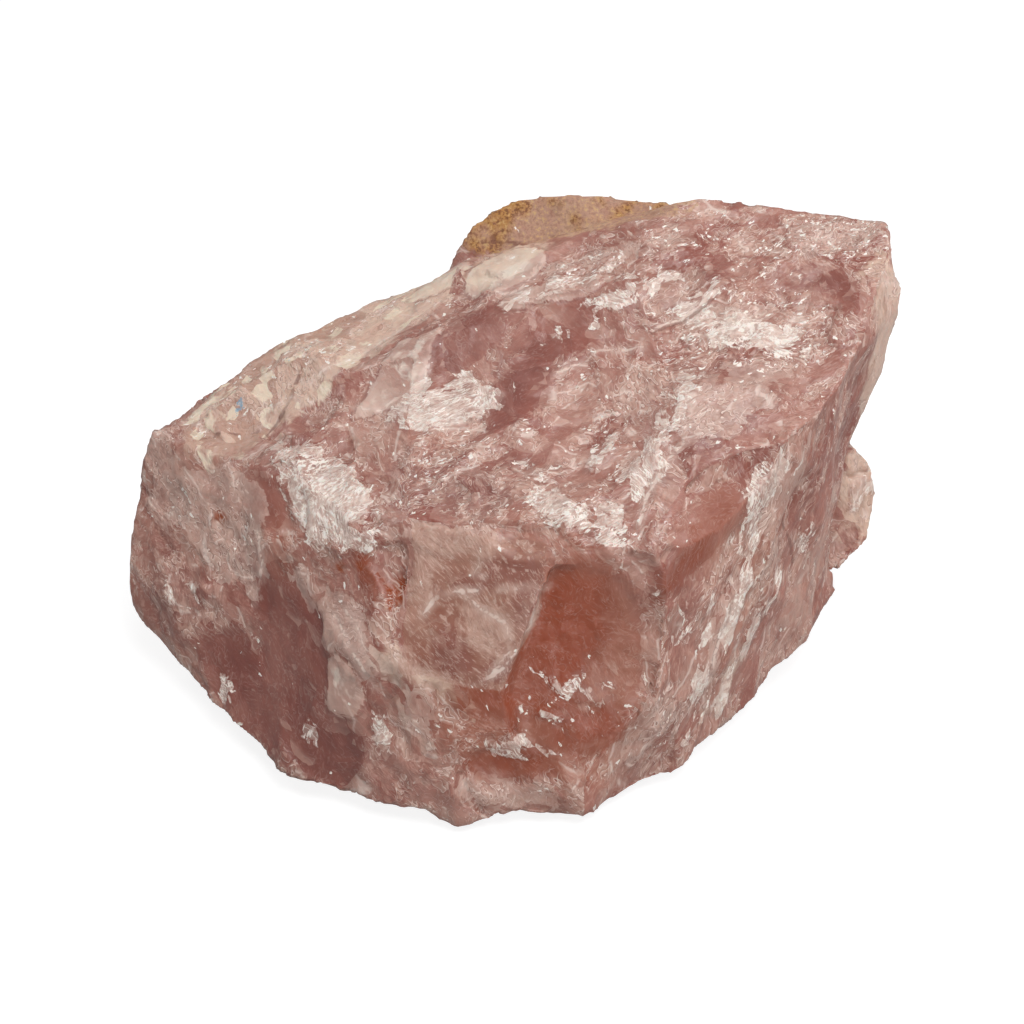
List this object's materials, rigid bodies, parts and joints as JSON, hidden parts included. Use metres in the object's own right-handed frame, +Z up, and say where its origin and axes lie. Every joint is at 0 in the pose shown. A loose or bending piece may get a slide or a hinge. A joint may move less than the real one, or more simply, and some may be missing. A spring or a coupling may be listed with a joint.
{
  "type": "rough rose quartz chunk",
  "caption": "Rough natural chunk of cloudy rose quartz, broken all over, with a sloping crown, a nose and a flat cleft underneath to rest on.",
  "frame": {"origin": "on the surface that the stone lies on, under the middle of its box", "axes": "+X along the stone's length, from its low left tip to its high right corner; -Y towards the side with the nose and the deep pink hollow; +Z up"},
  "size_m": [0.155, 0.111, 0.079],
  "materials": {
    "rose_quartz": "rough broken quartz, satin to glassy, cloudy and faintly see-through at the edges"
  },
  "bodies": {
    "root": {"rose_quartz_chunk": "rose_quartz"}
  },
  "joints": []
}
